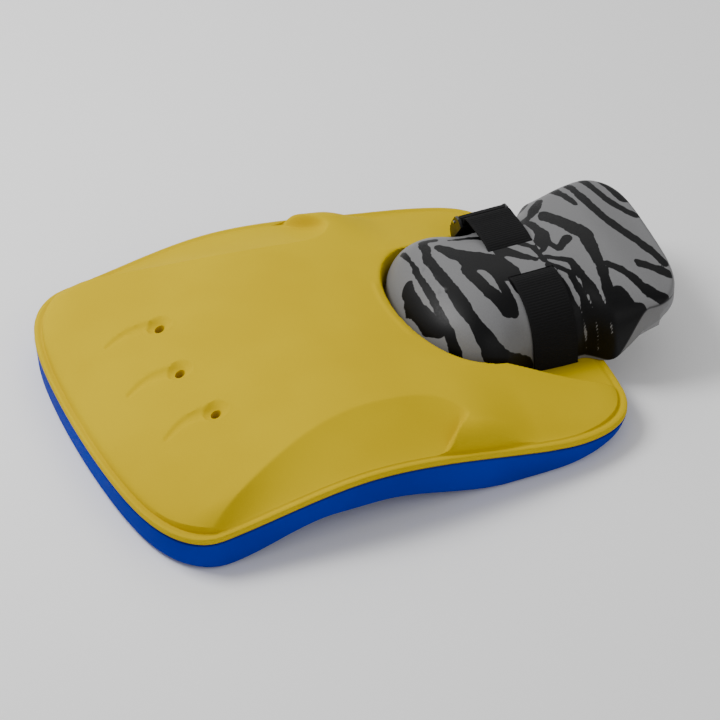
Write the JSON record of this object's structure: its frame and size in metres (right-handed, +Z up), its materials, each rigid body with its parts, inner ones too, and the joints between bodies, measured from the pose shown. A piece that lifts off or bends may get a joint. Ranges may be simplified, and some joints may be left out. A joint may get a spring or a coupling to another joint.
{
  "type": "kneeboard",
  "caption": "Short arched foam board with a moulded limb hood held in a rear well by a webbing strap with a cam buckle.",
  "frame": {"origin": "middle of the whole object's footprint, on the ground", "axes": "+X to the rear, where the well and the hood open, +Y to the side with the buckle, +Z up"},
  "size_m": [0.6436, 0.432, 0.1134],
  "materials": {
    "foam_yellow": "matte closed-cell foam, yellow",
    "foam_blue": "matte closed-cell foam, blue",
    "adhesive": "thin dark adhesive line",
    "foam_marbled": "satin closed-cell foam, marbled grey and near-black",
    "foam_grey": "plain light grey foam",
    "guide_plastic": "black moulded plastic sleeve",
    "webbing": "black ribbed elastic webbing",
    "buckle_plastic": "black moulded plastic, satin",
    "steel": "bright steel"
  },
  "bodies": {
    "board": {"deck": "foam_yellow", "hull": "foam_blue", "bond_film": "adhesive", "strap_guide": "guide_plastic", "strap_tunnel_run": "webbing"},
    "hood": {"hood_shell": "foam_marbled", "hood_liner": "foam_grey", "strap_long": "webbing", "strap_short": "webbing", "buckle_frame": "buckle_plastic", "buckle_pin": "steel", "buckle_spring": "steel"},
    "cam": {"buckle_cam": "buckle_plastic"}
  },
  "joints": [
    {"name": "hood_lift", "type": "slide", "parent": "board", "child": "hood", "axis": [0, 0, 1], "range_m": [0, 0.02], "stiffness_N_per_m": 600, "springref_m": -0.01},
    {"name": "cam_lever", "type": "hinge", "parent": "hood", "child": "cam", "pos_m": [0.1652, 0.091, 0.09726], "axis": [1, 0, 0], "range_deg": [0, 100], "stiffness_Nm_per_rad": 0.02, "springref_deg": -20.05}
  ]
}
